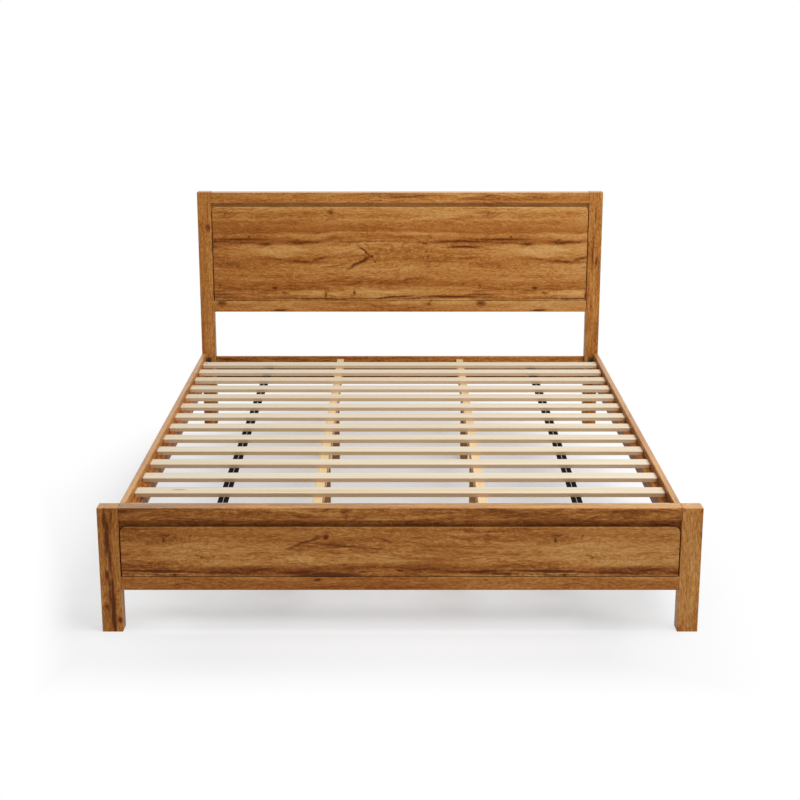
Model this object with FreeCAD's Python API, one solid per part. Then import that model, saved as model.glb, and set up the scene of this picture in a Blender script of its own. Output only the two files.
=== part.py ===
import FreeCAD, Part
import math
import os
from collections import namedtuple

# Panel bed, in millimetres. +Z is up and +Y runs from the footboard to the headboard. The origin is on the
# floor, under the middle of the bed.

# Mattress space
mattress_width = 1524.0
mattress_length = 2032.0
side_gap = 10.0              # from the mattress to each side rail
end_gap = 9.5                # from the mattress to the headboard and to the footboard

# Headboard and footboard frames
frame_depth = 44.0           # posts and rails, front to back
panel_thickness = 16.0
backing_thickness = 12.0
panel_gap = 3.5              # from the panel to each post
panel_groove = 1.5           # open line between the panel and the rail under it
panel_corner = 15.0          # radius of the panels' upper corners
groove_depth = 8.0           # grooves that hold the backing boards' edges
groove_slack = 1.0           # from a backing board's edge to the bottom of its groove
board_ease = 2.0             # radius of the eased edges

# Headboard
headboard_height = 934.0
headboard_top_drop = 2.0     # the top rail lies this far below the tops of the posts
headboard_top_height = 40.5
headboard_reveal = 16.0      # the dark slot between top rail and panel
headboard_panel_height = 372.0
headboard_bottom_height = 42.9
headboard_post_landing = 15.0    # the post's width past the corner bracket

# Footboard
footboard_rise = 63.0        # above the side rails
footboard_overhang = 18.0    # the footboard's posts stand out past the side rails
footboard_top_height = 35.0
footboard_reveal = 19.8
footboard_panel_height = 140.6
footboard_bottom_height = 37.6

# Side rails and cleats
rail_clearance = 176.0       # from the floor to the side rails
rail_height = 115.0
rail_thickness = 18.0
rail_ease = 2.0
cleat_width = 25.0
cleat_height = 45.0
cleat_ease = 1.5
slat_sink = 16.0             # from the top of a side rail down to the slats

# Head cross rail
cross_rail_setback = 22.0
cross_rail_thickness = 18.0
cross_rail_drop = 3.0        # below the tops of the slats

# Slats
slat_count = 15
slat_width = 56.0
slat_thickness = 12.5
slat_end_gap = 0.5
slat_head_margin = 109.0     # from the first slat's centre line to the headboard
slat_foot_margin = 62.0      # from the last slat's centre line to the footboard
slat_spread = 0.0825         # the pitch is this share under its mean at the head, and over it at the foot
slat_corner = 3.0
slat_ease = 1.0

# Webbing straps and their staples
strap_offset = 511.0         # from the bed's centre line to the middle of each pair
strap_width = 15.0
strap_pair_gap = 1.0
strap_thickness = 1.2
strap_end_inset = 8.0        # from the outer edges of the end slats
staple_crown = 10.0
staple_wire = 1.0
staple_leg = 7.0

# Support beams and their legs
beam_offset = 238.5          # from the bed's centre line to the middle of each beam
beam_width = 27.0
beam_height = 45.0
beam_ease = 1.5
leg_depth = 45.0             # along the bed
leg_first = 814.0            # from the footboard to the first leg's centre line
leg_pitch = 755.0
leg_ease = 1.5
leg_stud_radius = 4.0
leg_stud_reach = 30.0        # into the leg, and into the beam

# Corner brackets, their bolts and inserts
bracket_leg = 20.0           # across the post
bracket_arm = 28.0           # along the side rail
bracket_steel = 2.5
bracket_bottom_inset = 14.0  # from the side rail's lower edge
bracket_top_inset = 16.0     # from its upper edge
bracket_slack = 2.0          # from the bracket to the end of the cleat
bracket_bend = 1.5           # radius inside the bend
bracket_corner = 4.0
bolt_inset = 10.0            # from the bracket's upper and lower edges
bolt_radius = 3.0
bolt_head_radius = 5.5
bolt_head_height = 3.5
bolt_socket_flats = 4.0      # across the hexagonal socket
bolt_socket_depth = 2.2
insert_wall = 1.5
insert_cover = 1.0           # wood left between an insert and the backing board's groove
arm_screw_inset = 17.0       # from the bracket's upper and lower edges

# Steel angles under the ends of the beams
angle_arm = 30.0             # along the beam, and down the cross rail or backing board
angle_steel = 2.0
angle_bend = 1.5
angle_corner = 3.0

# Dowels and wood screws
dowel_radius = 4.0
dowel_reach = 20.0           # into each of the two pieces
dowel_slack = 1.0            # left at each end of a dowel
dowel_side_inset = 12.0      # from the front and back of a frame rail
cross_dowel_inset = 24.0     # from the upper and lower edges of the head cross rail
screw_radius = 2.0
screw_head_radius = 4.0
screw_head_height = 2.4
screw_cross_span = 4.4       # the cross recess in a screw's head
screw_cross_width = 0.9
screw_cross_depth = 1.4
cleat_screw_count = 8
cleat_screw_end = 60.0       # from the ends of the cleat
cleat_screw_height = 14.0    # above the cleat's lower edge
cleat_screw_bite = 12.0      # into the side rail
arm_screw_bite = 13.0        # into the side rail
angle_screw_bite = 10.0      # into the beam, cross rail or backing board
panel_screw_columns = 5
panel_screw_inset = 40.0     # from the panel's edges
panel_screw_bite = 11.0      # into the panel
slat_screw_bite = 18.0       # into the cleat

# Places that follow from the sizes above
inner_half = mattress_width / 2 + side_gap
rail_outer = inner_half + rail_thickness
bracket_inner = inner_half - bracket_leg
footboard_outer = rail_outer + footboard_overhang
headboard_post_width = rail_thickness + bracket_leg + headboard_post_landing
headboard_post_inner = rail_outer - headboard_post_width
foot_y = -mattress_length / 2 - end_gap
head_y = -foot_y
rail_top = rail_clearance + rail_height
slat_top = rail_top - slat_sink
cleat_top = slat_top - slat_thickness
cleat_bottom = cleat_top - cleat_height
beam_bottom = cleat_top - beam_height
cross_rail_y = head_y + cross_rail_setback
cross_rail_top = slat_top - cross_rail_drop
backing_back = panel_thickness + backing_thickness
foot_backing_y = foot_y - frame_depth + backing_back
footboard_height = rail_top + footboard_rise
bracket_bottom = rail_clearance + bracket_bottom_inset
bracket_top = rail_top - bracket_top_inset
bolt_x = bracket_inner + (bracket_leg - bracket_steel) / 2
bolt_heights = (bracket_bottom + bolt_inset, bracket_top - bolt_inset)
bolt_reach = frame_depth - backing_back - insert_cover
insert_radius = bolt_radius + insert_wall
cleat_half = head_y - bracket_arm - bracket_slack
cleat_screw_z = cleat_bottom + cleat_screw_height
cleat_inner = inner_half - cleat_width
strap_top = cleat_top
strap_bottom = strap_top - strap_thickness

UP = FreeCAD.Vector(0, 0, 1)
DOWN = FreeCAD.Vector(0, 0, -1)


def point(x, y, z):
    return FreeCAD.Vector(x, y, z)


def box(x, y, z):
    """A plain box from its three ranges."""
    return Part.makeBox(x[1] - x[0], y[1] - y[0], z[1] - z[0], point(x[0], y[0], z[0]))


def board(x, y, z, ease):
    """A box with every edge eased."""
    solid = box(x, y, z)
    return solid.makeFillet(ease, solid.Edges)


def rod(start, direction, length, radius):
    return Part.makeCylinder(radius, length, start, direction)


def save(name, shape):
    shape.exportStep(f"parts/{name}.step")


# A fastener's hole is what it takes out of the pieces round it, and its body is the fastener itself.
Fastener = namedtuple("Fastener", "hole body")


def drilled(shape, fasteners):
    return shape.cut([fastener.hole for fastener in fasteners])


def save_group(name, fasteners):
    """Like fasteners share one name."""
    save(name, Part.makeCompound([fastener.body for fastener in fasteners]))


def mirrored(x, side):
    """The range of x on one side of the bed: side is -1 for the left and 1 for the right."""
    return tuple(sorted((side * x[0], side * x[1])))


def turned(solid, recess, direction, place):
    """A fastener made along +Z at the origin, turned to run along direction from place."""
    placement = FreeCAD.Placement(place, FreeCAD.Rotation(UP, direction))
    body = solid.cut(recess)
    solid.Placement = placement
    body.Placement = placement
    return Fastener(solid, body)


def edges_along(shape, axis, *places):
    """The straight edges along one axis through any of the places, which give the other two coordinates."""
    def near(edge, place):
        box_centre = edge.BoundBox.Center
        return all(abs(getattr(box_centre, name) - value) < 0.01 for name, value in place.items())

    found = []
    for edge in shape.Edges:
        straight = edge.Length - getattr(edge.BoundBox, axis.upper() + "Length")
        if abs(straight) < 0.01 and any(near(edge, place) for place in places):
            found.append(edge)
    return found


def cross_recess(top):
    """The cross in a screw's head, sunk from the height top along +Z."""
    half, long_half = screw_cross_width / 2, screw_cross_span / 2
    z = (top, top + screw_cross_depth)
    return box((-long_half, long_half), (-half, half), z).fuse(box((-half, half), (-long_half, long_half), z))


def screw(direction, head, length):
    """A countersunk wood screw with its head flush at the point head."""
    cone = Part.makeCone(screw_head_radius, screw_radius, screw_head_height)
    solid = cone.fuse(Part.makeCylinder(screw_radius, length)).removeSplitter()
    return turned(solid, cross_recess(0), direction, head)


def pan_screw(direction, seat, length):
    """A screw whose round head stands on the point seat."""
    head = rod(point(0, 0, -screw_head_height), UP, screw_head_height, screw_head_radius)
    solid = head.fuse(Part.makeCylinder(screw_radius, length)).removeSplitter()
    return turned(solid, cross_recess(-screw_head_height), direction, seat)


def along(first, last, count):
    """Evenly spaced values from first to last."""
    return [first + (last - first) * i / (count - 1) for i in range(count)]


# Fasteners

def dowel(side, joint_x, y, z):
    """A dowel across the joint between a rail's end and a post. Its hole is a little longer than it is."""
    outward = point(side, 0, 0)
    hole = rod(point(side * (joint_x - dowel_reach), y, z), outward, 2 * dowel_reach, dowel_radius)
    start = point(side * (joint_x - dowel_reach + dowel_slack), y, z)
    return Fastener(hole, rod(start, outward, 2 * (dowel_reach - dowel_slack), dowel_radius))


def rail_dowels(inner, front, rails):
    """Two dowels, side by side, in each end of each frame rail, given the rails' clear heights."""
    depths = (front + dowel_side_inset, front + frame_depth - dowel_side_inset)
    heights = [(low + high) / 2 for low, high in rails]
    return [dowel(side, inner, y, z) for side in (-1, 1) for z in heights for y in depths]


def cross_rail_dowels():
    y = cross_rail_y + cross_rail_thickness / 2
    heights = (rail_clearance + cross_dowel_inset, cross_rail_top - cross_dowel_inset)
    return [dowel(side, headboard_post_inner, y, z) for side in (-1, 1) for z in heights]


def panel_screws(inner, back, low, high):
    """Screws from behind, through the backing board into the panel."""
    reach = inner - panel_gap - panel_screw_inset
    screws = []
    for x in along(-reach, reach, panel_screw_columns):
        for z in (low + panel_screw_inset, high - panel_screw_inset):
            head = point(x, back, z)
            screws.append(screw(point(0, -1, 0), head, backing_thickness + panel_screw_bite))
    return screws


def bolt_places():
    """The side, end and height of each bolt through a corner bracket into a post."""
    return [(side, end, z) for side in (-1, 1) for end in (-1, 1) for z in bolt_heights]


def bracket_bolt(side, end, z):
    """A bolt with a hexagonal socket in its round head."""
    seat = point(side * bolt_x, end * (head_y - bracket_steel), z)
    head = rod(point(0, 0, -bolt_head_height), UP, bolt_head_height, bolt_head_radius)
    solid = head.fuse(Part.makeCylinder(bolt_radius, bracket_steel + bolt_reach)).removeSplitter()
    corner = bolt_socket_flats / math.sqrt(3)
    ring = [point(corner * math.cos(math.radians(a)), corner * math.sin(math.radians(a)), -bolt_head_height)
            for a in range(0, 361, 60)]
    socket = Part.Face(Part.makePolygon(ring)).extrude(point(0, 0, bolt_socket_depth))
    return turned(solid, socket, point(0, end, 0), seat)


def bracket_insert(side, end, z):
    mouth = point(side * bolt_x, end * head_y, z)
    into_post = point(0, end, 0)
    hole = rod(mouth, into_post, bolt_reach, insert_radius)
    return Fastener(hole, hole.cut(rod(mouth, into_post, bolt_reach, bolt_radius)))


def arm_screw(side, end, z):
    """A screw through a corner bracket into a side rail."""
    y = end * (head_y - (bracket_arm + bracket_steel) / 2)
    seat = point(side * (inner_half - bracket_steel), y, z)
    return pan_screw(point(side, 0, 0), seat, bracket_steel + arm_screw_bite)


def cleat_screw(side, y):
    head = point(side * cleat_inner, y, cleat_screw_z)
    return screw(point(side, 0, 0), head, cleat_width + cleat_screw_bite)


def slat_screw(side, y):
    head = point(side * (cleat_inner + (cleat_width - slat_end_gap) / 2), y, slat_top)
    return screw(DOWN, head, slat_thickness + slat_screw_bite)


def leg_stud(side, y):
    start = point(side * beam_offset, y, beam_bottom - leg_stud_reach)
    stud = rod(start, UP, 2 * leg_stud_reach, leg_stud_radius)
    return Fastener(stud, stud)


def angle_screws(side, end, wall_y):
    """One screw into the wall behind a steel angle, and one up into the beam."""
    middle = (angle_arm + angle_steel) / 2
    across = point(side * beam_offset, wall_y - end * angle_steel, beam_bottom - middle)
    under = point(side * beam_offset, wall_y - end * middle, beam_bottom - angle_steel)
    length = angle_steel + angle_screw_bite
    return [pan_screw(point(0, end, 0), across, length), pan_screw(UP, under, length)]


def staple(x, y):
    """A staple driven up through a strap into a slat."""
    half = staple_crown / 2
    wire_y = (y - staple_wire / 2, y + staple_wire / 2)
    top = strap_bottom + staple_leg
    crown = box((x - half, x + half), wire_y, (strap_bottom - staple_wire, strap_bottom))
    legs = [box((x - half, x - half + staple_wire), wire_y, (strap_bottom, top)),
            box((x + half - staple_wire, x + half), wire_y, (strap_bottom, top))]
    wire = crown.fuse(legs).removeSplitter()
    return Fastener(wire, wire)


# Headboard and footboard

def frame_post(x, y, height, groove, fasteners):
    """A post with a groove in its inner face for the backing board's edge."""
    post = board(x, y, (0, height), board_ease)
    return drilled(post.cut(groove), fasteners)


def frame_rail(inner, y, z, groove, fasteners):
    rail = board((-inner, inner), y, z, board_ease)
    return drilled(rail.cut(groove), fasteners)


def face_panel(inner, front, z, fasteners):
    """The flat panel, with round upper corners and eased front edges."""
    half = inner - panel_gap
    panel = box((-half, half), (front, front + panel_thickness), (z[0] + panel_groove, z[1]))
    corners = [e for e in panel.Edges if e.BoundBox.ZMin > z[1] - 1 and e.BoundBox.XLength < 1]
    panel = panel.makeFillet(panel_corner, corners)
    rim = [e for e in panel.Edges if e.BoundBox.YMax < front + 1]
    return drilled(panel.makeFillet(board_ease, rim), fasteners)


def end_frame(name, outer, inner, front, height, bands, post_extras, dowels, screws):
    """One end of the bed. bands holds the heights of its bottom rail, panel, reveal and top rail."""
    bottom, panel_low, panel_high, top_low, top = bands
    y = (front, front + frame_depth)
    backing_y = (front + panel_thickness, front + backing_back)
    groove_z = (panel_low - groove_depth, top_low + groove_depth)
    groove = box((-inner - groove_depth, inner + groove_depth), backing_y, groove_z)
    backing_half = inner + groove_depth - groove_slack
    backing_z = (groove_z[0] + groove_slack, groove_z[1] - groove_slack)
    backing = box((-backing_half, backing_half), backing_y, backing_z)
    for side, word in ((-1, "left"), (1, "right")):
        post = frame_post(mirrored((inner, outer), side), y, height, groove, dowels + post_extras)
        save(f"{name}_post_{word}", post)
    save(f"{name}_bottom_rail", frame_rail(inner, y, (bottom, panel_low), groove, dowels))
    save(f"{name}_top_rail", frame_rail(inner, y, (top_low, top), groove, dowels))
    save(f"{name}_backing", drilled(backing, screws))
    save(f"{name}_panel", face_panel(inner, front, (panel_low, panel_high), screws))


def end_bands(top, top_height, reveal, panel_height, bottom_height):
    """Heights of the bottom rail's lower edge, the panel's two edges and the top rail's two edges."""
    top_low = top - top_height
    panel_high = top_low - reveal
    panel_low = panel_high - panel_height
    return panel_low - bottom_height, panel_low, panel_high, top_low, top


def clear_heights(bands):
    """The heights in the two frame rails that the grooves leave clear, for dowels."""
    bottom, panel_low, _, top_low, top = bands
    return (bottom, panel_low - groove_depth), (top_low + groove_depth, top)


def headboard(post_extras):
    bands = end_bands(headboard_height - headboard_top_drop, headboard_top_height, headboard_reveal,
                      headboard_panel_height, headboard_bottom_height)
    dowels = rail_dowels(headboard_post_inner, head_y, clear_heights(bands)) + cross_rail_dowels()
    screws = panel_screws(headboard_post_inner, head_y + backing_back, bands[1], bands[2])
    end_frame("headboard", rail_outer, headboard_post_inner, head_y, headboard_height, bands, post_extras,
              dowels, screws)
    save_group("headboard_dowels", dowels)
    return screws


def footboard(post_extras, backing_extras):
    bands = end_bands(footboard_height, footboard_top_height, footboard_reveal, footboard_panel_height,
                      footboard_bottom_height)
    front = foot_y - frame_depth
    dowels = rail_dowels(bracket_inner, front, clear_heights(bands))
    screws = panel_screws(bracket_inner, front + backing_back, bands[1], bands[2])
    end_frame("footboard", footboard_outer, bracket_inner, front, footboard_height, bands, post_extras,
              dowels, screws + backing_extras)
    save_group("footboard_dowels", dowels)
    return screws


def head_cross_rail(fasteners):
    x = (-headboard_post_inner, headboard_post_inner)
    y = (cross_rail_y, cross_rail_y + cross_rail_thickness)
    rail = board(x, y, (rail_clearance, cross_rail_top), board_ease)
    save("head_cross_rail", drilled(rail, fasteners))


# Sides

def side_rail(side, fasteners):
    x = mirrored((inner_half, rail_outer), side)
    rail = board(x, (foot_y, head_y), (rail_clearance, rail_top), rail_ease)
    return drilled(rail, fasteners)


def slat_cleat(side, fasteners):
    x = mirrored((cleat_inner, inner_half), side)
    cleat = board(x, (-cleat_half, cleat_half), (cleat_bottom, cleat_top), cleat_ease)
    return drilled(cleat, fasteners)


def corner_bracket(side, end, fasteners):
    """A steel angle: one leg lies on the post and the other on the side rail's inner face."""
    z = (bracket_bottom, bracket_top)
    steel_y = sorted((end * head_y, end * (head_y - bracket_steel)))
    arm_y = sorted((end * head_y, end * (head_y - bracket_arm)))
    leg = box(mirrored((bracket_inner, inner_half), side), steel_y, z)
    arm = box(mirrored((inner_half - bracket_steel, inner_half), side), arm_y, z)
    solid = leg.fuse(arm).removeSplitter()
    outside = {"x": side * inner_half, "y": end * head_y}
    inside = {"x": side * (inner_half - bracket_steel), "y": end * (head_y - bracket_steel)}
    solid = solid.makeFillet(bracket_bend + bracket_steel, edges_along(solid, "z", outside))
    solid = solid.makeFillet(bracket_bend, edges_along(solid, "z", inside))
    leg_corners = edges_along(solid, "y", *[{"x": side * bracket_inner, "z": level} for level in z])
    arm_corners = edges_along(solid, "x", *[{"y": end * (head_y - bracket_arm), "z": level} for level in z])
    return drilled(solid.makeFillet(bracket_corner, leg_corners + arm_corners), fasteners)


# Base

def slat_centres():
    """Places of the slats along the bed, from head to foot. The pitch grows steadily towards the foot."""
    centre = head_y - slat_head_margin
    mean = (centre - foot_y - slat_foot_margin) / (slat_count - 1)
    centres = [centre]
    for share in along(-slat_spread, slat_spread, slat_count - 1):
        centre -= mean * (1 + share)
        centres.append(centre)
    return centres


def slat(y, fasteners):
    half = inner_half - slat_end_gap
    solid = box((-half, half), (y - slat_width / 2, y + slat_width / 2), (cleat_top, slat_top))
    upright = [e for e in solid.Edges if e.BoundBox.ZLength > slat_thickness / 2]
    solid = solid.makeFillet(slat_corner, upright)
    rims = [e for e in solid.Edges if e.BoundBox.ZLength < slat_thickness / 2]
    return drilled(solid.makeFillet(slat_ease, rims), fasteners)


def strap_middles():
    """The middle of each strap across the bed."""
    step = (strap_width + strap_pair_gap) / 2
    return {"left_outer": -strap_offset - step, "left_inner": -strap_offset + step,
            "right_inner": strap_offset - step, "right_outer": strap_offset + step}


def strap(x, centres, fasteners):
    reach = slat_width / 2 - strap_end_inset
    y = (centres[-1] - reach, centres[0] + reach)
    return drilled(box((x - strap_width / 2, x + strap_width / 2), y, (strap_bottom, strap_top)), fasteners)


def support_beam(side, fasteners):
    x = mirrored((beam_offset - beam_width / 2, beam_offset + beam_width / 2), side)
    beam = board(x, (foot_backing_y, cross_rail_y), (beam_bottom, cleat_top), beam_ease)
    return drilled(beam, fasteners)


def beam_leg(side, y, fasteners):
    x = mirrored((beam_offset - beam_width / 2, beam_offset + beam_width / 2), side)
    leg = board(x, (y - leg_depth / 2, y + leg_depth / 2), (0, beam_bottom), leg_ease)
    return drilled(leg, fasteners)


def beam_angle(side, end, wall_y, fasteners):
    """A steel angle under the end of a beam."""
    x = mirrored((beam_offset - beam_width / 2, beam_offset + beam_width / 2), side)
    shelf_y = sorted((wall_y, wall_y - end * angle_arm))
    back_y = sorted((wall_y, wall_y - end * angle_steel))
    shelf = box(x, shelf_y, (beam_bottom - angle_steel, beam_bottom))
    back = box(x, back_y, (beam_bottom - angle_arm, beam_bottom))
    solid = shelf.fuse(back).removeSplitter()
    outside = {"y": wall_y, "z": beam_bottom}
    inside = {"y": wall_y - end * angle_steel, "z": beam_bottom - angle_steel}
    solid = solid.makeFillet(angle_bend + angle_steel, edges_along(solid, "x", outside))
    solid = solid.makeFillet(angle_bend, edges_along(solid, "x", inside))
    shelf_corners = edges_along(solid, "z", *[{"x": level, "y": wall_y - end * angle_arm} for level in x])
    back_corners = edges_along(solid, "y", *[{"x": level, "z": beam_bottom - angle_arm} for level in x])
    return drilled(solid.makeFillet(angle_corner, shelf_corners + back_corners), fasteners)


def build():
    os.makedirs("parts", exist_ok=True)
    sides = ((-1, "left"), (1, "right"))
    ends = ((-1, "foot", foot_backing_y), (1, "head", cross_rail_y))
    centres = slat_centres()
    end_slats = (centres[0], centres[-1])
    leg_places = [(foot_y + leg_first + i * leg_pitch, word) for i, word in enumerate(("foot", "head"))]

    bolts = [bracket_bolt(*place) for place in bolt_places()]
    inserts = [bracket_insert(*place) for place in bolt_places()]
    arm_screws = [arm_screw(side, end, z) for side, _ in sides for end, _, _ in ends
                  for z in (bracket_bottom + arm_screw_inset, bracket_top - arm_screw_inset)]
    cleat_screw_places = along(cleat_screw_end - cleat_half, cleat_half - cleat_screw_end, cleat_screw_count)
    cleat_screws = [cleat_screw(side, y) for side, _ in sides for y in cleat_screw_places]
    slat_screws = [slat_screw(side, y) for side, _ in sides for y in end_slats]
    studs = [leg_stud(side, y) for side, _ in sides for y, _ in leg_places]
    beam_screws = [s for side, _ in sides for end, _, wall_y in ends for s in angle_screws(side, end, wall_y)]
    staples = {y: [staple(x, y) for x in strap_middles().values()] for y in centres}

    screws = headboard(bolts + inserts)
    screws += footboard(bolts + inserts, beam_screws)
    head_cross_rail(cross_rail_dowels() + beam_screws)
    save_group("panel_screws", screws)

    for side, word in sides:
        save(f"side_rail_{word}", side_rail(side, arm_screws + cleat_screws))
        save(f"slat_cleat_{word}", slat_cleat(side, cleat_screws + slat_screws))
        save(f"support_beam_{word}", support_beam(side, studs + beam_screws))
        for end, end_word, _ in ends:
            save(f"corner_bracket_{end_word}_{word}", corner_bracket(side, end, bolts + arm_screws))
        for y, end_word in leg_places:
            save(f"beam_leg_{end_word}_{word}", beam_leg(side, y, studs))

    for number, y in enumerate(centres, 1):
        through = slat_screws if y in end_slats else []
        save(f"slat_{number:02d}", slat(y, staples[y] + through))
    all_staples = [s for y in centres for s in staples[y]]
    for word, x in strap_middles().items():
        save(f"strap_{word}", strap(x, centres, all_staples))

    save("beam_angles", Part.makeCompound([beam_angle(side, end, wall_y, beam_screws)
                                           for side, _ in sides for end, _, wall_y in ends]))
    save_group("beam_angle_screws", beam_screws)
    save_group("bracket_bolts", bolts)
    save_group("bracket_inserts", inserts)
    save_group("bracket_screws", arm_screws)
    save_group("cleat_screws", cleat_screws)
    save_group("slat_screws", slat_screws)
    save_group("leg_studs", studs)
    save_group("strap_staples", all_staples)


build()
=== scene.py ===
import math
from collections import namedtuple

import bpy
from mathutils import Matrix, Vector

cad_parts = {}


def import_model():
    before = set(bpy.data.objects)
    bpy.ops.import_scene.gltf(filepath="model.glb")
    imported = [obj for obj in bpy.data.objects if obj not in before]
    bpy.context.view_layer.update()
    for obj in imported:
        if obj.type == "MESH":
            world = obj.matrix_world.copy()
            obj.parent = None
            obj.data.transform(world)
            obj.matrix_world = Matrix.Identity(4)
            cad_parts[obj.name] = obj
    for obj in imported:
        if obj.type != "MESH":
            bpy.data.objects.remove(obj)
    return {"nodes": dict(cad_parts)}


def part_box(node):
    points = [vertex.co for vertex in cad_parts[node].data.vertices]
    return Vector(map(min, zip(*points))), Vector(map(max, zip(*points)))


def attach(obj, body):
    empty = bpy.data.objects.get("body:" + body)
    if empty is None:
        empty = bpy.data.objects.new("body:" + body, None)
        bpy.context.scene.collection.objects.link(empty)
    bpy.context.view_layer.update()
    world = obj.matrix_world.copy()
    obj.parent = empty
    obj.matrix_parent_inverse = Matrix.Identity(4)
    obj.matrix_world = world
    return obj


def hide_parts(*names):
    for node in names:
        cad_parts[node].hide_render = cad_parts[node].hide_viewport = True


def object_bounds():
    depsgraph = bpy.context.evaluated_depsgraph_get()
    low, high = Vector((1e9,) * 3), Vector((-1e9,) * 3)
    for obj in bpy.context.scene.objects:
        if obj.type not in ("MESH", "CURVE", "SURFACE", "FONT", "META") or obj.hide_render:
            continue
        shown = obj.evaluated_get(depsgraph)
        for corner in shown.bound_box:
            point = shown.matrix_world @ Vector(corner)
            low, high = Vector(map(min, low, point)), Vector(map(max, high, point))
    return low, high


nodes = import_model()["nodes"]
cad_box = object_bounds()

# Headboard posts and top rail. Each is softwood wrapped in a printed oak woodgrain, golden brown with knots
# and cracks, under a satin lacquer. The grain runs up the posts and along the rail, which is dowelled between
# them.


class Wire:
    """A shader socket. Python's operators on it add the Math nodes that they stand for."""

    def __init__(self, socket):
        self.socket = socket

    def node(self, kind, settings=None, inputs=None, out=0):
        """Adds a node. Its settings come first, then the values or links of its sockets."""
        made = self.socket.id_data.nodes.new("ShaderNode" + kind)
        for name, value in (settings or {}).items():
            if name == "stops":
                set_stops(made.color_ramp, value)
            else:
                setattr(made, name, value)
        for name, value in (inputs or {}).items():
            if isinstance(value, Wire):
                self.socket.id_data.links.new(value.socket, made.inputs[name])
            else:
                made.inputs[name].default_value = value
        return Wire(made.outputs[out])

    def maths(self, operation, *others):
        return self.node("Math", {"operation": operation}, dict(enumerate((self, *others))))

    def __add__(self, other):
        return self.maths("ADD", other)

    def __radd__(self, other):
        return self.maths("ADD", other)

    def __sub__(self, other):
        return self.maths("SUBTRACT", other)

    def __rsub__(self, other):
        return self.node("Math", {"operation": "SUBTRACT"}, {0: other, 1: self})

    def __mul__(self, other):
        return self.maths("MULTIPLY", other)

    def __rmul__(self, other):
        return self.maths("MULTIPLY", other)

    def __truediv__(self, other):
        return self.maths("DIVIDE", other)

    def __rtruediv__(self, other):
        return self.node("Math", {"operation": "DIVIDE"}, {0: other, 1: self})

    def step(self, low, high):
        """A smooth rise from 0 at low to 1 at high. With low above high it falls instead."""
        settings = {"interpolation_type": "SMOOTHSTEP"}
        if low < high:
            return self.node("MapRange", settings, {"Value": self, "From Min": low, "From Max": high})
        falling = {"Value": self, "From Min": high, "From Max": low, "To Min": 1.0, "To Max": 0.0}
        return self.node("MapRange", settings, falling)

    def split(self, kind="XYZ"):
        """The three parts of this vector, or of this colour."""
        parts = self.node("Separate" + kind, {}, {0: self}).socket.node.outputs
        return [Wire(part) for part in parts]

    def length(self):
        return self.node("VectorMath", {"operation": "LENGTH"}, {0: self}, "Value")

    def scaled(self, scale, shift=(0.0, 0.0, 0.0)):
        """This vector times one vector plus another."""
        return self.node("VectorMath", {"operation": "MULTIPLY_ADD"}, {0: self, 1: scale, 2: shift})

    def noise(self, scale, shift=0.0, detail=2.0, rough=0.5, out="Fac"):
        """Noise at this vector, with its own scale on each axis."""
        place = self.scaled(scale, (shift, shift * 0.7, shift * 1.3))
        values = {"Vector": place, "Scale": 1.0, "Detail": detail, "Roughness": rough}
        return self.node("TexNoise", {}, values, out)

    def ramp(self, stops):
        """The colour that a ramp of places and colours gives this value."""
        return self.node("ValToRGB", {"stops": stops}, {0: self})

    def mixed(self, other, factor):
        """This colour, turned into another one by a factor."""
        return self.node("Mix", {"data_type": "RGBA"}, {0: factor, 6: self, 7: other}, 2)

    def bump(self, strength, height):
        """The surface with this relief, of a height in metres."""
        return self.node("Bump", {}, {"Strength": strength, "Distance": height, "Height": self})


def set_stops(ramp, stops):
    """Sets a colour ramp's stops, each a place from 0 to 1 and a colour."""
    while len(ramp.elements) < len(stops):
        ramp.elements.new(1.0)
    for element, (place, colour) in zip(ramp.elements, stops):
        element.position = place
        element.color = colour


def joined(x, y, z):
    """A vector made of three values."""
    return x.node("CombineXYZ", {}, {0: x, 1: y, 2: z})


def srgb(red, green, blue):
    """A colour from its usual 0 to 255 values."""
    def linear(value):
        value /= 255
        return value / 12.92 if value <= 0.04045 else ((value + 0.055) / 1.055) ** 2.4
    return (linear(red), linear(green), linear(blue), 1.0)


def new_finish(name, **fixed):
    """A material, its shader, and the surface's place on the object, in metres."""
    material = bpy.data.materials.new(name)
    material.use_nodes = True
    shader = material.node_tree.nodes["Principled BSDF"]
    for socket, value in fixed.items():
        shader.inputs[socket.replace("_", " ")].default_value = value
    coordinates = material.node_tree.nodes.new("ShaderNodeTexCoord")
    return material, shader, Wire(coordinates.outputs["Object"])


def feed(shader, name, wire):
    shader.id_data.links.new(wire.socket, shader.inputs[name])


def dress(node_names, material):
    """Gives CAD nodes a material, and smooths their rounded edges but not their corners."""
    corner_angle = math.radians(35)
    for name in node_names:
        mesh = nodes[name].data
        mesh.materials.clear()
        mesh.materials.append(material)
        mesh.shade_smooth()
        mesh.set_sharp_from_angle(angle=corner_angle)


def grain_place(place, grain):
    """The place with its first axis along the grain, its second across it and its third through the board."""
    axes = place.split()
    order = {"x": (0, 2, 1), "y": (1, 2, 0), "z": (2, 0, 1)}[grain]
    return joined(*[axes[number] for number in order])


def round_roller(flat, repeat):
    """The place on a print roller, which turns once in each repeat."""
    along, across = flat.split()[:2]
    turn = along * (2 * math.pi / repeat)
    radius = repeat / (2 * math.pi)
    return joined(turn.maths("COSINE") * radius, across, turn.maths("SINE") * radius)


# A knot or a crack is dark, and a light patch has a strength below 0. Its place is along and across the
# grain, its tilt is in degrees, and its push is how far it swings the grain aside, in metres.
Mark = namedtuple("Mark", "along across half_length half_height strength push tilt", defaults=(0.0, 0.0))


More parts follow.
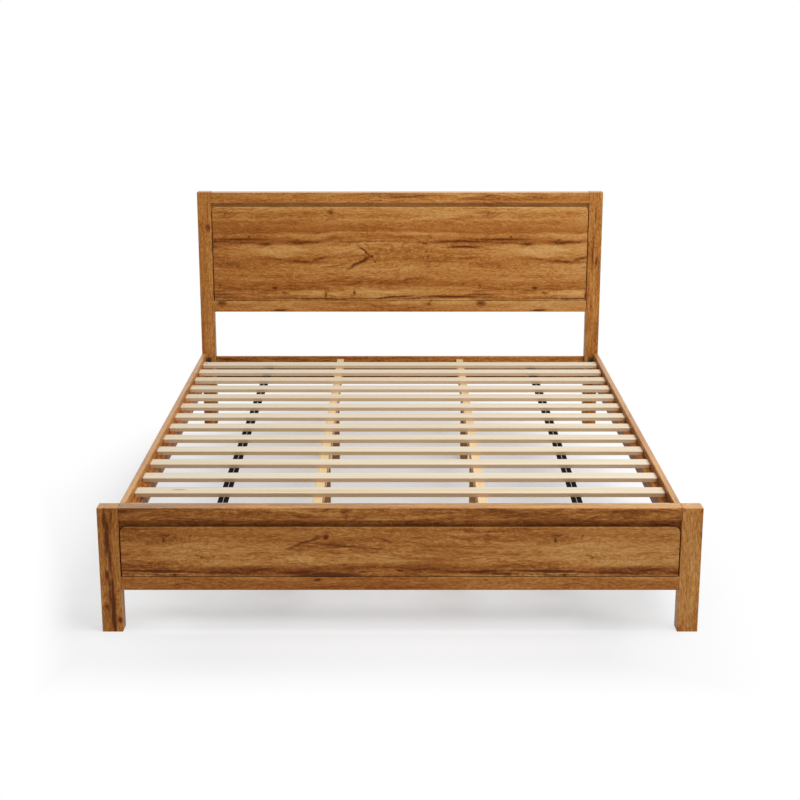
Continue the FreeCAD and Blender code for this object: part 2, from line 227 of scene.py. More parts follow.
def draw_marks(ragged, marks, repeat):
    """How dark the knots and cracks are, how light the patches, and how far the grain swings aside."""
    stain_reach = 2.4
    patch_inside = 0.75
    patch_outside = 1.25
    no_wrap = 9.0
    dark, pale, aside = 0.0, 0.0, 0.0
    for mark in [Mark(*row) for row in marks]:
        near = ragged.scaled((1, 1, 0), (-mark.along, -mark.across, 0))
        if repeat:
            most = (repeat / 2, no_wrap, no_wrap)
            least = (-repeat / 2, -no_wrap, -no_wrap)
            near = near.node("VectorMath", {"operation": "WRAP"}, {0: near, 1: most, 2: least})
        if mark.tilt:
            turned = {"Vector": near, "Angle": math.radians(-mark.tilt)}
            near = near.node("VectorRotate", {"rotation_type": "Z_AXIS"}, turned)
        near = near.scaled((1 / mark.half_length, 1 / mark.half_height, 0))
        reach = near.length()
        if mark.strength > 0:
            dark = (reach.step(stain_reach, 0.0) * mark.strength).maths("MAXIMUM", dark)
        else:
            pale = pale - reach.step(patch_outside, patch_inside) * mark.strength
        if mark.push:
            aside = aside + near.split()[1] * mark.push / (reach * reach + 1.0)
    return dark, pale, aside


oak_shades = [(0.0, srgb(88, 44, 18)), (0.25, srgb(136, 79, 32)), (0.50, srgb(178, 114, 53)),
              (0.72, srgb(200, 146, 82)), (1.0, srgb(216, 172, 112))]
rust_brown = srgb(146, 74, 22)
knot_stain = srgb(126, 66, 24)
knot_core = srgb(88, 44, 18)
# The colour of the painted highlight on faces that look up.
painted_top_highlight = srgb(198, 164, 100)


def oak(name, grain, seed, tone=0.0, marks=(), lanes=(), repeat=None, wild=1.0, coat_and_painted_sheen=1.0, painted_lean=0.0):
    """Golden brown oak woodgrain. The seed picks its figure. Tone makes all of it lighter, and the lean
    setting paints light on, lighter towards the far end. Wild is for stray cracks. The gloss setting scales
    the lacquer coat and a painted highlight on the faces that look up. A lane is a height across the grain,
    with its lightness and rust. With a repeat, the figure comes round again as a print does."""
    material, shader, place = new_finish(name, Specular_IOR_Level=0.05, Coat_Roughness=0.24, Coat_IOR=1.3)
    flat = grain_place(place, grain)
    printed = round_roller(flat, repeat) if repeat else flat

    def layer(under, length, width, shift, detail=3.0, rough=0.55):
        """Noise round zero, with patches this long and wide."""
        depth = 1 / length if repeat else 1.5 / width
        return under.noise((1 / length, 1 / width, depth), seed + shift, detail, rough) - 0.5

    # Knots and cracks have ragged outlines, and the grain swings round each knot.
    ragged_along = 0.036
    ragged_across = 0.018
    wander = printed.noise((9.0, 30.0, 11.0 if repeat else 30.0), seed + 2, 5.0, 0.62, "Color")
    centred = flat.scaled((1, 1, 0), (-ragged_along / 2, -ragged_across / 2, 0))
    ragged = wander.scaled((ragged_along, ragged_across, 0), centred)
    dark, pale, aside = draw_marks(ragged, marks, repeat)
    stray = layer(printed, 0.40, 0.05, 7, 2.0).step(0.10, 0.28) * (0.20 * wild)
    dark = stray.maths("MAXIMUM", dark)
    swing = layer(printed, 0.50, 0.16, 3, 1.0) * 0.05 + layer(printed, 0.15, 0.060, 5, 2.0) * 0.030 - aside
    busy = layer(printed, 0.34, 0.10, 53, 2.0).step(-0.14, 0.14)

    # The figure: wide bands, growth rings cut lengthwise, streaks, flecks and fibres, all swung by the knots.
    along, across, through = printed.split()
    across = across + swing
    bent = joined(along, across, through)
    band = layer(bent, 0.60, 0.045, 11, 2.0)
    streak = layer(bent, 0.16, 0.010, 13, 4.0, 0.60)
    fleck = layer(bent, 0.014, 0.0034, 17, 3.0, 0.75)
    fibre = layer(bent, 0.024, 0.0016, 19, 2.0, 0.6)
    vein = layer(bent, 0.26, 0.024, 61, 3.0, 0.5).maths("ABSOLUTE").step(0.055, 0.005) * (0.2 + busy * 0.8)
    growth = (layer(bent, 0.55, 0.110, 37, 2.0, 0.45) * 20.0).maths("FRACT")
    ring = growth.step(0.15, 0.92) * growth.step(1.0, 0.92)
    ray = layer(flat, 0.007, 0.018, 23, 2.0, 0.6) * layer(printed, 0.22, 0.09, 29, 1.0).step(0.0, 0.15)
    light = band * 0.85 + streak * (0.30 + busy * 0.45) + fleck * 1.10 + fibre * 0.40 + ray * 0.45 + pale
    light = light - (ring - 0.35) * (0.05 + busy * 0.09) - vein * 0.13 + (0.54 + tone)
    # Painted light: lighter towards the far end of the grain, which on the rails, panels and boards is the
    # bed's right-hand end.
    light = light + flat.split()[0] * painted_lean
    rust = layer(printed, 0.60, 0.07, 31, 2.0).step(0.02, 0.22) * 0.5
    if lanes:
        low = lanes[0][0]
        spread = lanes[-1][0] - low
        stops = [((level - low) / spread, (lightness, redness, 0, 1)) for level, lightness, redness in lanes]
        lane_light, lane_rust = ((across - low) * (1 / spread)).ramp(stops).split("Color")[:2]
        light = light + lane_light - 0.5
        rust = rust * 0.4 + lane_rust
    colour = light.ramp(oak_shades).mixed(rust_brown, rust * 0.75)

    # Knots and cracks have a dark core in a softer brown stain, both broken up by the flecks and streaks.
    broken = (fleck * 1.6 + streak * 1.2) * dark
    hair = layer(bent, 0.50, 0.050, 59, 3.0, 0.55).maths("ABSOLUTE").step(0.020, 0.002) * busy * wild
    stain = (dark - broken).step(0.06, 0.80).maths("MAXIMUM", hair * 0.4)
    core = (dark - broken * 0.7).step(0.52, 0.95) + hair.step(0.6, 1.0) * 0.3
    colour = colour.mixed(knot_stain, stain * 0.80).mixed(knot_core, core * 0.85)

    # Faces that look up get a painted highlight, their colour turned towards a pale sheen, and a thicker
    # lacquer coat.
    upward = flat.node("NewGeometry", {}, {}, "Normal").split()[2].step(0.5, 0.95)
    feed(shader, "Base Color", colour.mixed(painted_top_highlight, upward * (0.27 * coat_and_painted_sheen)))
    feed(shader, "Coat Weight", (0.12 + upward * 0.53) * coat_and_painted_sheen)
    feed(shader, "Roughness", 0.42 + fleck * 0.15)
    feed(shader, "Normal", ((fibre + fleck + streak) * 0.5).bump(0.35, 0.0006))
    return material


head_left_marks = [(0.797, -0.752, 0.012, 0.009, 0.80, 0.006)]
head_right_marks = [
    (0.845, 0.765, 0.030, 0.003, 0.80), (0.700, 0.757, 0.060, 0.003, 0.80),
    (0.662, 0.772, 0.020, 0.004, 0.80, 0.002)]
dress(["headboard_post_left"], oak("oak_head_left", "z", 2.0, -0.03, head_left_marks))
dress(["headboard_post_right"], oak("oak_head_right", "z", 9.0, 0.02, head_right_marks))
dress(["headboard_top_rail"], oak("oak_head_top", "x", 5.0, 0.03, painted_lean=0.08))

# Headboard panel, and the rail under it. Both are board faced with one printed woodgrain laid lengthwise. The
# print roller turns more than once across the bed, so each knot comes round again. The panel is screwed on
# from behind. Its patches are light, but for a wide one that is a little darker.
head_roller = 1.026
head_patches = [
    (-0.560, 0.690, 0.110, 0.050, -0.06), (-0.545, 0.575, 0.100, 0.020, -0.07),
    (-0.450, 0.702, 0.100, 0.022, -0.15), (-0.240, 0.700, 0.110, 0.020, -0.15),
    (-0.330, 0.645, 0.190, 0.007, -0.14), (-0.377, 0.538, 0.080, 0.009, -0.14),
    (-0.236, 0.535, 0.046, 0.009, -0.14), (-0.078, 0.538, 0.090, 0.008, -0.14),
    (0.080, 0.690, 0.150, 0.045, 0.24)]
head_knots = [
    (-0.678, 0.850, 0.034, 0.0137, 0.48), (-0.268, 0.854, 0.0100, 0.0110, 0.75, 0.006),
    (-0.331, 0.853, 0.0066, 0.0033, 0.50), (-0.126, 0.777, 0.0026, 0.0086, 0.50),
    (-0.590, 0.760, 0.004, 0.0033, 1.00, 0.004), (-0.406, 0.747, 0.0092, 0.004, 1.00, 0.006),
    (-0.110, 0.681, 0.0086, 0.0053, 1.00, 0.010), (-0.492, 0.556, 0.0092, 0.0053, 1.00, 0.006),
    (-0.455, 0.536, 0.0132, 0.0053, 0.70, 0.004), (-0.293, 0.529, 0.004, 0.0073, 0.95),
    (-0.181, 0.538, 0.0046, 0.0079, 0.95), (-0.370, 0.513, 0.0079, 0.003, 1.00),
    (-0.683, 0.531, 0.0059, 0.0033, 1.00), (-0.710, 0.565, 0.0046, 0.0106, 0.75),
    (-0.704, 0.496, 0.0160, 0.0110, 0.80), (0.118, 0.765, 0.0132, 0.0079, 0.50),
    (0.098, 0.736, 0.0092, 0.0046, 0.85, 0.008), (0.104, 0.702, 0.0053, 0.0053, 1.00, 0.004),
    (0.110, 0.682, 0.0059, 0.0046, 0.80), (0.128, 0.716, 0.0066, 0.0033, 0.70),
    (0.106, 0.646, 0.0132, 0.0086, 0.55, -0.006)]
head_cracks = [
    (-0.678, 0.849, 0.0079, 0.004, 0.80, 0.0, 30), (-0.655, 0.856, 0.0092, 0.0026, 0.60, 0.0, 40),
    (-0.650, 0.750, 0.100, 0.0044, 0.90), (-0.620, 0.737, 0.080, 0.0037, 0.72),
    (-0.525, 0.734, 0.034, 0.0070, 0.80, -0.006), (-0.385, 0.737, 0.075, 0.0056, 0.90),
    (-0.256, 0.758, 0.026, 0.006, 0.60), (-0.150, 0.742, 0.150, 0.0032, 0.66),
    (-0.152, 0.660, 0.052, 0.0060, 0.95, 0.0, 30), (-0.136, 0.701, 0.032, 0.0037, 1.02, 0.0, -38),
    (-0.098, 0.664, 0.0092, 0.0026, 0.80, 0.0, -50), (-0.094, 0.700, 0.0119, 0.002, 0.60, 0.0, 45),
    (-0.485, 0.672, 0.050, 0.0044, 0.60, 0.0, -6), (-0.390, 0.661, 0.055, 0.0050, 0.85, -0.006),
    (-0.322, 0.671, 0.036, 0.005, 0.78, 0.0, 16), (-0.255, 0.645, 0.055, 0.004, 0.66, 0.0, 5),
    (-0.520, 0.545, 0.030, 0.0037, 0.72), (-0.300, 0.514, 0.230, 0.0030, 0.90),
    (-0.040, 0.519, 0.070, 0.0032, 1.02, 0.0, 4), (0.060, 0.515, 0.080, 0.0032, 0.80),
    (0.215, 0.522, 0.110, 0.0036, 0.95), (-0.700, 0.531, 0.050, 0.0035, 0.96),
    (-0.473, 0.466, 0.026, 0.0045, 0.90), (0.250, 0.741, 0.130, 0.0056, 0.90),
    (0.250, 0.720, 0.055, 0.0044, 1.02), (0.118, 0.497, 0.0132, 0.0033, 0.85, 0.0, 60)]
head_lanes = [
    (0.455, 0.48, 0.15), (0.494, 0.53, 0.05), (0.505, 0.62, 0.0), (0.522, 0.53, 0.10), (0.540, 0.60, 0.0),
    (0.568, 0.45, 0.35), (0.600, 0.53, 0.10), (0.635, 0.58, 0.0), (0.655, 0.48, 0.10), (0.700, 0.52, 0.05),
    (0.728, 0.50, 0.05), (0.744, 0.40, 0.25), (0.756, 0.48, 0.15), (0.766, 0.66, 0.0), (0.778, 0.46, 0.35),
    (0.812, 0.46, 0.30), (0.826, 0.58, 0.0), (0.845, 0.60, 0.0), (0.870, 0.66, 0.0)]
dress(["headboard_panel", "headboard_bottom_rail"],
      oak("oak_headboard", "x", 31.0, -0.015, head_patches + head_knots + head_cracks, head_lanes,
          repeat=head_roller, wild=0.5, painted_lean=0.09))

# Headboard backing board. It is faced board let into grooves behind the panel, which is screwed to it. In
# front it shows only as the dark slot above the panel. Its colour is made much lighter, as painted light in
# that slot.
dress(["headboard_backing"], oak("oak_head_backing", "x", 55.0, 0.34, painted_lean=0.05))

# Head cross rail: a low board of the same woodgrain without lacquer, dowelled between the headboard's posts.
# The support beams end on it. Its lanes paint shade on it below the slats, darkest just under them.
cross_rail_painted_shade = [(0.130, 0.34, 0.0), (0.190, 0.14, 0.0), (0.235, 0.14, 0.0), (0.252, 0.50, 0.0)]
dress(["head_cross_rail"],
      oak("oak_cross_rail", "x", 77.0, -0.12, lanes=cross_rail_painted_shade, wild=0.3, coat_and_painted_sheen=0.0, painted_lean=0.03))

# Footboard posts and top rail. They are wrapped softwood like the headboard's, with dowels between them. The
# left post is the most cracked piece of the bed, and the right one is nearly plain, with a strip of painted
# light down its inner edge.
foot_left_marks = [
    (0.315, -0.790, 0.030, 0.0040, 1.10), (0.270, -0.786, 0.055, 0.0060, 1.00, 0.004),
    (0.210, -0.780, 0.045, 0.0036, 0.90), (0.165, -0.786, 0.012, 0.0055, 1.00, 0.004),
    (0.120, -0.782, 0.050, 0.0034, 0.90), (0.060, -0.775, 0.080, 0.0040, 1.20),
    (0.076, -0.792, 0.010, 0.0060, 0.80, 0.006), (0.033, -0.760, 0.008, 0.0050, 1.10, 0.003)]
foot_right_painted_light = [(0.180, 0.757, 0.160, 0.010, -0.12)]
foot_top_marks = [
    (-0.400, 0.340, 0.026, 0.010, 0.65, 0.008), (-0.240, 0.332, 0.036, 0.006, 0.50),
    (-0.146, 0.342, 0.010, 0.008, 0.80), (-0.142, 0.328, 0.004, 0.012, 0.70),
    (0.640, 0.341, 0.030, 0.008, 0.60, 0.008), (0.250, 0.346, 0.090, 0.003, 0.50)]
foot_top_lanes = [
    (0.316, 0.50, 0.05), (0.326, 0.45, 0.05), (0.338, 0.46, 0.05), (0.345, 0.57, 0.0), (0.3525, 0.58, 0.0),
    (0.355, 0.49, 0.0)]
dress(["footboard_post_left"], oak("oak_foot_left", "z", 14.0, -0.09, foot_left_marks, wild=1.3))
dress(["footboard_post_right"], oak("oak_foot_right", "z", 21.0, 0.01, foot_right_painted_light, wild=0.1))
dress(["footboard_top_rail"],
      oak("oak_foot_top", "x", 11.0, -0.12, foot_top_marks, foot_top_lanes, painted_lean=0.12))

# Footboard panel, and the rail under it. They are faced and fixed like the headboard's, and their print comes
# round again too.
foot_roller = 1.048
foot_knots = [
    (-0.632, 0.264, 0.0033, 0.0092, 0.90), (-0.622, 0.277, 0.0132, 0.0046, 0.80, 0.004),
    (-0.600, 0.275, 0.004, 0.0059, 0.60), (-0.732, 0.223, 0.0066, 0.0033, 0.60),
    (-0.607, 0.165, 0.0046, 0.004, 1.00, 0.003), (-0.531, 0.215, 0.0059, 0.004, 0.60, 0.003),
    (-0.182, 0.189, 0.0053, 0.0033, 0.60, 0.003), (-0.094, 0.175, 0.0119, 0.003, 0.75),
    (-0.005, 0.177, 0.0066, 0.004, 1.00, 0.003), (0.064, 0.182, 0.0059, 0.0033, 1.00),
    (0.011, 0.172, 0.0033, 0.0119, 0.65), (-0.223, 0.150, 0.0079, 0.004, 1.10, 0.003),
    (0.228, 0.149, 0.0053, 0.0033, 0.70), (-0.199, 0.272, 0.0059, 0.0059, 1.05, 0.018),
    (-0.222, 0.276, 0.0053, 0.0026, 0.70)]
foot_cracks = [
    (-0.560, 0.275, 0.0092, 0.002, 0.75, 0.0, 45), (-0.650, 0.175, 0.120, 0.0041, 1.08),
    (-0.660, 0.166, 0.110, 0.0025, 0.72), (-0.470, 0.172, 0.050, 0.0034, 1.08),
    (-0.380, 0.178, 0.040, 0.004, 1.08, 0.0, 8), (-0.275, 0.173, 0.050, 0.0037, 1.20),
    (-0.195, 0.165, 0.080, 0.0057, 1.25), (0.208, 0.173, 0.070, 0.0041, 1.08),
    (0.270, 0.167, 0.060, 0.0034, 0.96), (0.110, 0.170, 0.060, 0.0028, 0.72),
    (-0.252, 0.258, 0.050, 0.0034, 0.90, 0.0, 21), (-0.150, 0.247, 0.060, 0.0041, 0.84, 0.0, -3),
    (-0.070, 0.240, 0.050, 0.003, 0.78, 0.0, -4), (-0.040, 0.262, 0.030, 0.003, 0.66, 0.0, -18),
    (0.040, 0.268, 0.030, 0.0028, 0.54, 0.0, 20)]
foot_stains = [
    (-0.630, 0.271, 0.050, 0.0161, 0.42), (-0.420, 0.176, 0.130, 0.0109, 0.74),
    (-0.235, 0.184, 0.110, 0.0126, 0.50), (0.043, 0.178, 0.040, 0.0138, 0.72),
    (-0.250, 0.243, 0.055, 0.0092, 0.54, 0.0, 12), (-0.180, 0.228, 0.030, 0.0057, 0.48, 0.0, -20),
    (0.050, 0.213, 0.130, 0.0092, 0.38), (-0.250, 0.297, 0.200, 0.0069, 0.42)]
foot_lanes = [
    (0.115, 0.50, 0.30), (0.148, 0.47, 0.35), (0.158, 0.52, 0.10), (0.166, 0.48, 0.10), (0.176, 0.38, 0.15),
    (0.190, 0.55, 0.0), (0.230, 0.52, 0.0), (0.252, 0.55, 0.0), (0.272, 0.51, 0.05), (0.285, 0.49, 0.10),
    (0.300, 0.41, 0.20)]
dress(["footboard_panel", "footboard_bottom_rail"],
      oak("oak_footboard", "x", 43.0, -0.02, foot_knots + foot_cracks + foot_stains, foot_lanes,
          repeat=foot_roller, wild=0.5, painted_lean=0.07))

# Footboard backing board, let into grooves behind its panel like the headboard's. The support beams end on it
# at this end of the bed.
dress(["footboard_backing"], oak("oak_foot_backing", "x", 57.0, -0.10, painted_lean=0.12))

# Dowels: plain turned beech, glued into the ends of the rails and into the posts. None shows on the finished
# bed.


def planed_wood(name, grain, seed, pale, warm, painted_side_shade, painted_head_light=0.0):
    """Planed softwood or beech between two colours, with fine straight grain and a few small knots. Its third
    colour is painted shade on the faces that stand upright. The last setting paints light on, paler along the
    third axis, which for the slats is towards the head of the bed."""
    material, shader, place = new_finish(name, Specular_IOR_Level=0.25)
    flat = grain_place(place, grain)
    along, across, through = flat.split()
    wave = flat.noise((1.5, 12, 6), seed, 1.0) * 0.02
    bent = joined(along, across + wave, through + wave)
    rings = bent.noise((1.2, 60, 110), seed + 3, 3.0, 0.6)
    fibre = bent.noise((18, 700, 900), seed + 7, 2.0, 0.6)
    plank = flat.noise((0.4, 3, 5.5), seed + 19, 1.0)
    tone = rings * 0.8 + fibre * 0.2 + (plank - 0.5) * 0.5
    colour = tone.ramp([(0.30, warm), (0.58, pale)])
    cells = flat.scaled((3.2, 14, 14), (seed, seed, seed))
    spots = flat.node("TexVoronoi", {}, {"Vector": cells, "Scale": 1.0})
    chosen = Wire(spots.socket.node.outputs["Color"]).split("Color")[0].step(0.80, 0.82)
    knot_brown = srgb(150, 104, 62)
    colour = colour.mixed(knot_brown, spots.step(0.10, 0.03) * chosen * 0.7)
    # Painted shade: faces that stand upright are turned browner.
    level = flat.node("NewGeometry", {}, {}, "Normal").split()[2].maths("ABSOLUTE")
    colour = colour.mixed(painted_side_shade, level.step(0.75, 0.25) * 0.8)
    # Painted light: paler towards the head of the bed.
    if painted_head_light:
        painted_light_colour = srgb(252, 236, 208)
        colour = colour.mixed(painted_light_colour, (through + 0.3).step(0.0, 1.2) * painted_head_light)
    feed(shader, "Base Color", colour)
    feed(shader, "Roughness", 0.52 + fibre * 0.2)
    feed(shader, "Normal", (fibre * 0.5 + rings * 0.3).bump(0.3, 0.0004))
    return material


beech_pale = srgb(214, 184, 140)
beech_warm = srgb(192, 156, 110)
# The third colour is painted shade, for the faces that stand upright.
beech_painted_shade = srgb(204, 170, 124)
dress(["headboard_dowels", "footboard_dowels"],
      planed_wood("beech", "x", 97.0, beech_pale, beech_warm, beech_painted_shade))

# Panel screws: bright zinc-plated steel with cross recesses. They go through the backing boards into the
# panels, and their heads show in two rows on the back of each board.


def metal(name, colour, rough, metallic):
    """Plated, coated or plain metal, a little clouded and brushed."""
    material, shader, place = new_finish(name, Metallic=metallic)
    cloud = place.noise((60, 60, 60), 1.0, 3.0)
    scratch = place.noise((400, 40, 900), 2.0, 2.0)
    clouded = tuple(0.8 * part for part in colour[:3]) + (1,)
    feed(shader, "Base Color", cloud.ramp([(0.3, clouded), (0.7, colour)]))
    feed(shader, "Roughness", rough + (scratch - 0.5) * 0.2)
    return material


zinc = metal("zinc", srgb(190, 190, 186), 0.32, 1.0)
dress(["panel_screws"], zinc)

# Side rails: wrapped boards, 18 mm thick, that stand on edge between the headboard and the footboard. Their
# grain runs along the bed.
dress(["side_rail_left"], oak("oak_rail_left", "y", 61.0, 0.02))
dress(["side_rail_right"], oak("oak_rail_right", "y", 67.0, -0.01))

# Slat cleats: ledges without lacquer, screwed along the inner face of each side rail. The slats' ends lie on
# them. Their colour is darkened as painted shade under the slats, the right one more.
dress(["slat_cleat_left"], oak("oak_cleat_left", "y", 71.0, -0.20, wild=0.3, coat_and_painted_sheen=0.0))
dress(["slat_cleat_right"], oak("oak_cleat_right", "y", 73.0, -0.28, wild=0.3, coat_and_painted_sheen=0.0))
dress(["cleat_screws"], zinc)

# Corner brackets: folded steel in a grey-brown coat, one in each corner. Each is screwed to its side rail and
# held to its post by two coated bolts, which turn in brass inserts in the post.
corner_brackets = [name for name in nodes if name.startswith("corner_bracket_")]
bronzed_steel = metal("bronzed_steel", srgb(98, 78, 56), 0.5, 0.35)
dress(corner_brackets + ["bracket_bolts"], bronzed_steel)
dress(["bracket_screws"], zinc)
dress(["bracket_inserts"], metal("brass", srgb(196, 160, 92), 0.35, 1.0))

# Support beams: two yellow pine battens on edge, the length of the bed. A small coated steel angle holds each
# end, with screws into the beam and into the board that it meets.
beam_pale = srgb(226, 200, 158)
beam_warm = srgb(208, 176, 129)
# The third colour is painted shade, for the faces that stand upright.
beam_painted_shade = srgb(206, 168, 118)
dress(["support_beam_left", "support_beam_right"],
      planed_wood("yellow_pine", "y", 87.0, beam_pale, beam_warm, beam_painted_shade))
dress(["beam_angles"], bronzed_steel)
dress(["beam_angle_screws"], zinc)

# Beam legs: two short ones of stained softwood under each beam. A plated stud, half in the leg and half in
# the beam, holds each.
leg_names = sorted(name for name in nodes if name.startswith("beam_leg_"))
leg_pale = srgb(158, 115, 72)
leg_warm = srgb(122, 80, 44)
# The third colour is painted shade, for the faces that stand upright.
leg_painted_shade = srgb(150, 106, 64)
dress(leg_names, planed_wood("stained_leg", "z", 93.0, leg_pale, leg_warm, leg_painted_shade))
dress(["leg_studs"], zinc)

# Slats: fifteen of bare planed pine with eased edges, laid across the bed on the cleats and beams. The straps
# hold them in order, and screws fix the first and the last one to the cleats. They are made paler towards the
# head, as painted light.
slat_names = sorted(name for name in nodes if name.startswith("slat_") and name[5:].isdigit())
slat_pale = srgb(221, 209, 188)
slat_warm = srgb(204, 183, 150)
# The third colour is painted shade, for the faces that stand upright.
slat_painted_shade = srgb(206, 168, 122)
dress(slat_names, planed_wood("pale_pine", "x", 81.0, slat_pale, slat_warm, slat_painted_shade, painted_head_light=0.16))
dress(["slat_screws"], zinc)

# Webbing straps: black woven polypropylene tape, 1.2 mm thick, stapled up to the underside of every slat.
# Between two slats the tape hangs a little slack. Its edges are woven round a thicker cord, and its face is
# finely ribbed.
strap_slack = 0.0016     # how far the tape sags in a gap
strap_steps = 8          # straight stretches along each sag
flat_inset = 0.0085      # from a slat's edge to where the tape lies flat on it

# The tape's section, across in shares of its half width and down from its top in shares of its thickness.
tape_section = [
    (-1.0, 0.5), (-0.97, 0.12), (-0.90, 0.0), (-0.80, 0.08), (0.80, 0.08), (0.90, 0.0), (0.97, 0.12),
    (1.0, 0.5), (0.97, 0.88), (0.90, 1.0), (0.80, 0.92), (-0.80, 0.92), (-0.90, 1.0), (-0.97, 0.88)]


def strap_line(start, end):
    """The tape's line along the bed: flat under each slat, with a shallow sag in each gap."""
    slats = sorted((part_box(name)[0][1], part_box(name)[1][1]) for name in slat_names)
    line = []
    for number, (near, far) in enumerate(slats):
        line += [(near + flat_inset, 0.0), ((near + far) / 2, 0.0), (far - flat_inset, 0.0)]
        if number + 1 < len(slats):
            gap_start = far - flat_inset
            gap_end = slats[number + 1][0] + flat_inset
            for step in range(1, strap_steps):
                part = step / strap_steps
                sag = strap_slack * math.sin(math.pi * part) ** 2
                line.append((gap_start + (gap_end - gap_start) * part, sag))
    line[0] = (start, 0.0)
    line[-1] = (end, 0.0)
    return line


def woven_tape(name, node, line):
    """A tape along a line, as wide and thick as its CAD strap, with full rounded edges."""
    low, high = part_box(node)
    middle = (low[0] + high[0]) / 2
    half_width = (high[0] - low[0]) / 2
    thick = high[2] - low[2]
    count = len(tape_section)
    points = []
    faces = []
    for y, sag in line:
        points += [(middle + x * half_width, y, high[2] - thick * z - sag) for x, z in tape_section]
    for row in range(len(line) - 1):
        for i in range(count):
            j = (i + 1) % count
            faces.append((row * count + i, row * count + j, (row + 1) * count + j, (row + 1) * count + i))
    faces.append(tuple(range(count)))
    faces.append(tuple(reversed(range(len(points) - count, len(points)))))
    mesh = bpy.data.meshes.new(name)
    mesh.from_pydata(points, [], faces)
    mesh.validate()
    mesh.shade_smooth()
    piece = bpy.data.objects.new(name, mesh)
    bpy.context.scene.collection.objects.link(piece)
    return piece


def webbing(name):
    """Black tape with a fine weave of warp and weft threads."""
    warp_thread = 0.0012
    weft_thread = 0.0020
    material, shader, place = new_finish(name, Roughness=0.9, Specular_IOR_Level=0.08)
    right, back = place.split()[:2]
    warp = right * (2 * math.pi / warp_thread)
    weft = back * (2 * math.pi / weft_thread)
    weave = warp.maths("SINE") * weft.maths("SINE")
    fuzz = place.noise((900, 900, 900), 1.0, 2.0)
    shade = weave * 0.35 + fuzz * 0.6 + 0.2
    feed(shader, "Base Color", shade.ramp([(0.2, srgb(4, 4, 4)), (0.9, srgb(20, 20, 19))]))
    feed(shader, "Normal", weave.bump(0.6, 0.0003))
    return material


black_webbing = webbing("black_webbing")
for node in sorted(name for name in nodes if name.startswith("strap_") and name != "strap_staples"):
    low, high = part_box(node)
    line = strap_line(low[1], high[1])
    strap = woven_tape("tape_" + node[6:], node, line)
    strap.data.materials.append(black_webbing)
    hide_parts(node)
    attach(strap, "root")

# Staples: bent from bright wire. One goes over each strap wherever it crosses a slat, and is driven up into
# the slat.
dress(["strap_staples"], zinc)

# Studio floor: a pale sheet that takes the bed's shadow and fades into white round it. Distances on it are in
# metres, to the right of the bed's middle and back towards the headboard. Its colour is darker to the right
# and its glow is raised or lowered near the bed, as painted light and shade.
floor_half = 9.0
floor_corners = [(-floor_half, -floor_half, 0), (floor_half, -floor_half, 0), (floor_half, floor_half, 0),
                 (-floor_half, floor_half, 0)]
floor_mesh = bpy.data.meshes.new("floor")
floor_mesh.from_pydata(floor_corners, [], [(0, 1, 2, 3)])
floor = bpy.data.objects.new("floor", floor_mesh)
bpy.context.scene.collection.objects.link(floor)


def looked_at(tree):
    """1 where the camera sees the surface, also in a glossy or a clear one, and 0 for its light elsewhere."""
    path = tree.nodes.new("ShaderNodeLightPath")
    seen = Wire(path.outputs["Is Camera Ray"])
    seen = seen.maths("MAXIMUM", Wire(path.outputs["Is Glossy Ray"]))
    return seen.maths("MAXIMUM", Wire(path.outputs["Is Transmission Ray"]))


floor_material, floor_shader, floor_place = new_finish("studio_floor", Roughness=0.9, Specular_IOR_Level=0.0)
right, back = floor_place.split()[:2]
cloud = floor_place.noise((0.6, 0.6, 0.6), 1.0, 1.0)
# Painted shade: the floor's colour is darker towards the right.
floor_colour_and_painted_shade = cloud * 0.2 + right.step(-0.1, 1.0)
feed(floor_shader, "Base Color", floor_colour_and_painted_shade.ramp([(0.0, srgb(225, 226, 228)), (1.0, srgb(206, 207, 210))]))

# The open floor glows fully white. Near the bed it glows less, so that shadows show.
oval_scale = (1.25, 0.62, 0)
oval_shift = (0.18, 0.31, 0)
round_bed = floor_place.scaled(oval_scale, oval_shift).length()
beside_bed = right.maths("ABSOLUTE") - back * 0.214
open_floor = round_bed.step(0.95, 1.5).maths("MAXIMUM", back.step(-1.22, -1.50))
open_floor = open_floor.maths("MAXIMUM", beside_bed.step(1.10, 1.24))
left_side = right.step(-0.45, -0.85)
right_side = right.step(0.50, 0.68)
between_feet = right.step(0.66, 0.42) * right.step(-0.80, -0.60)
painted_light_under_footboard = back.step(-0.93, -1.02) * back.step(-1.11, -1.06) * between_feet
painted_shade_behind_footboard = back.step(-0.94, -0.86) * back.step(-0.40, -0.80) * left_side.step(0.3, 0.0)
painted_light_under_head = back.step(0.85, 1.15)
painted_shade_under_middle = back.step(-0.20, 0.10) * back.step(1.0, 0.80)
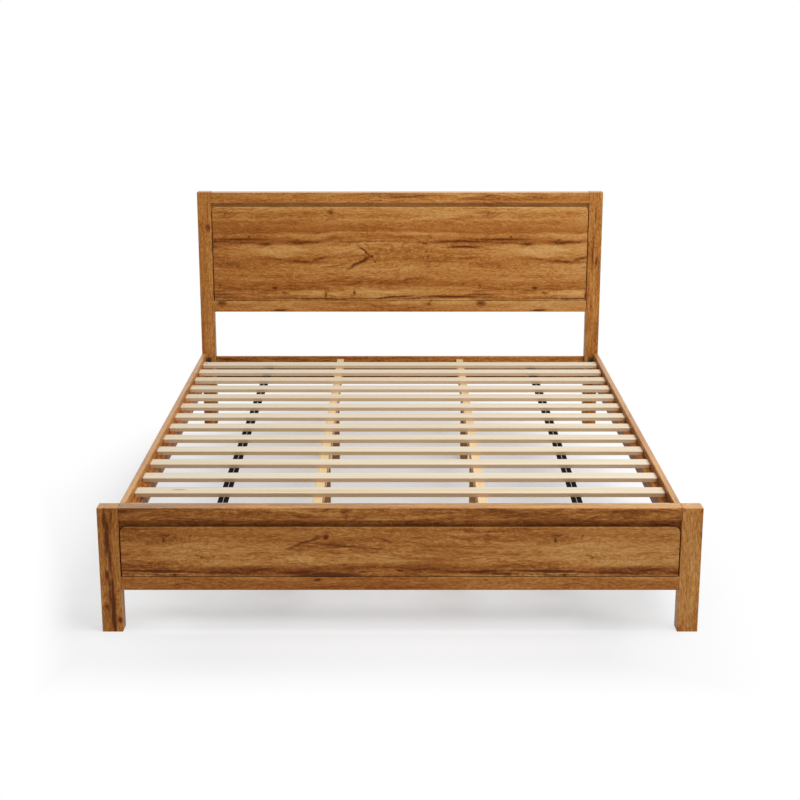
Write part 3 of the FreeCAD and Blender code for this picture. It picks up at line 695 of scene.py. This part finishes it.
# Painted light and shade: the glow is raised beside the bed, under the footboard and under the head, and
# lowered behind the footboard and under the middle.
glow_at_bed = 0.42
glow = glow_at_bed + left_side * 0.24 + right_side * 0.20
glow = glow + painted_light_under_footboard * 0.20 - painted_shade_behind_footboard * 0.06
glow = glow + painted_light_under_head * 0.10 - painted_shade_under_middle * 0.06
glow = glow + open_floor * (1.0 - glow)
floor_tree = floor_material.node_tree
lit_floor = Wire(floor_shader.outputs[0])
white_light = glow.node("Emission")
faded = glow.node("MixShader", {}, {0: looked_at(floor_tree) * glow, 1: lit_floor, 2: white_light})
feed(floor_tree.nodes["Material Output"], "Surface", faded)
floor_mesh.materials.append(floor_material)

# Studio surround: soft white light from all sides, behind a background that looks fully white.
surround_light = 0.315
white = (1, 1, 1, 1)
surround = bpy.data.worlds.new("surround")
bpy.context.scene.world = surround
surround.use_nodes = True
sky = surround.node_tree
soft = sky.nodes["Background"]
soft.inputs["Color"].default_value = white
soft.inputs["Strength"].default_value = surround_light
shown = looked_at(sky)
background = shown.node("Background", {}, {"Color": white, "Strength": 1.0})
chosen = shown.node("MixShader", {}, {0: shown, 1: Wire(soft.outputs[0]), 2: background})
feed(sky.nodes["World Output"], "Surface", chosen)

# Key lamp: a square softbox high up in front, to the right, which looks down at the slats.
key_place = Vector((1.9, -1.7, 4.9))
key_aim = Vector((0, 0, 0.2))
key_light = bpy.data.lights.new("key", "AREA")
key_light.size = 3.3
key_light.energy = 285.0
key = bpy.data.objects.new("key", key_light)
key.location = key_place
key.rotation_euler = (key_aim - key_place).to_track_quat("-Z", "Y").to_euler()
bpy.context.scene.collection.objects.link(key)

# Camera. It stands 3.86 m in front of the footboard and 1.67 m up, and looks down at the bed. Its focal
# length is written in pixels of the picture, which is 800 pixels wide.
camera_distance = 3.860
camera_height = 1.670
camera_pitch = 14.78
focal_pixels = 1530.0
picture_pixels = 800.0
sensor_width = 36.0
view = bpy.data.cameras.new("camera")
view.sensor_width = sensor_width
view.lens = focal_pixels / picture_pixels * sensor_width
camera = bpy.data.objects.new("camera", view)
camera.location = (0, cad_box[0][1] - camera_distance, camera_height)
camera.rotation_euler = (math.radians(90 - camera_pitch), 0, 0)
bpy.context.scene.collection.objects.link(camera)
bpy.context.scene.camera = camera
bpy.context.scene.view_settings.view_transform = "Standard"
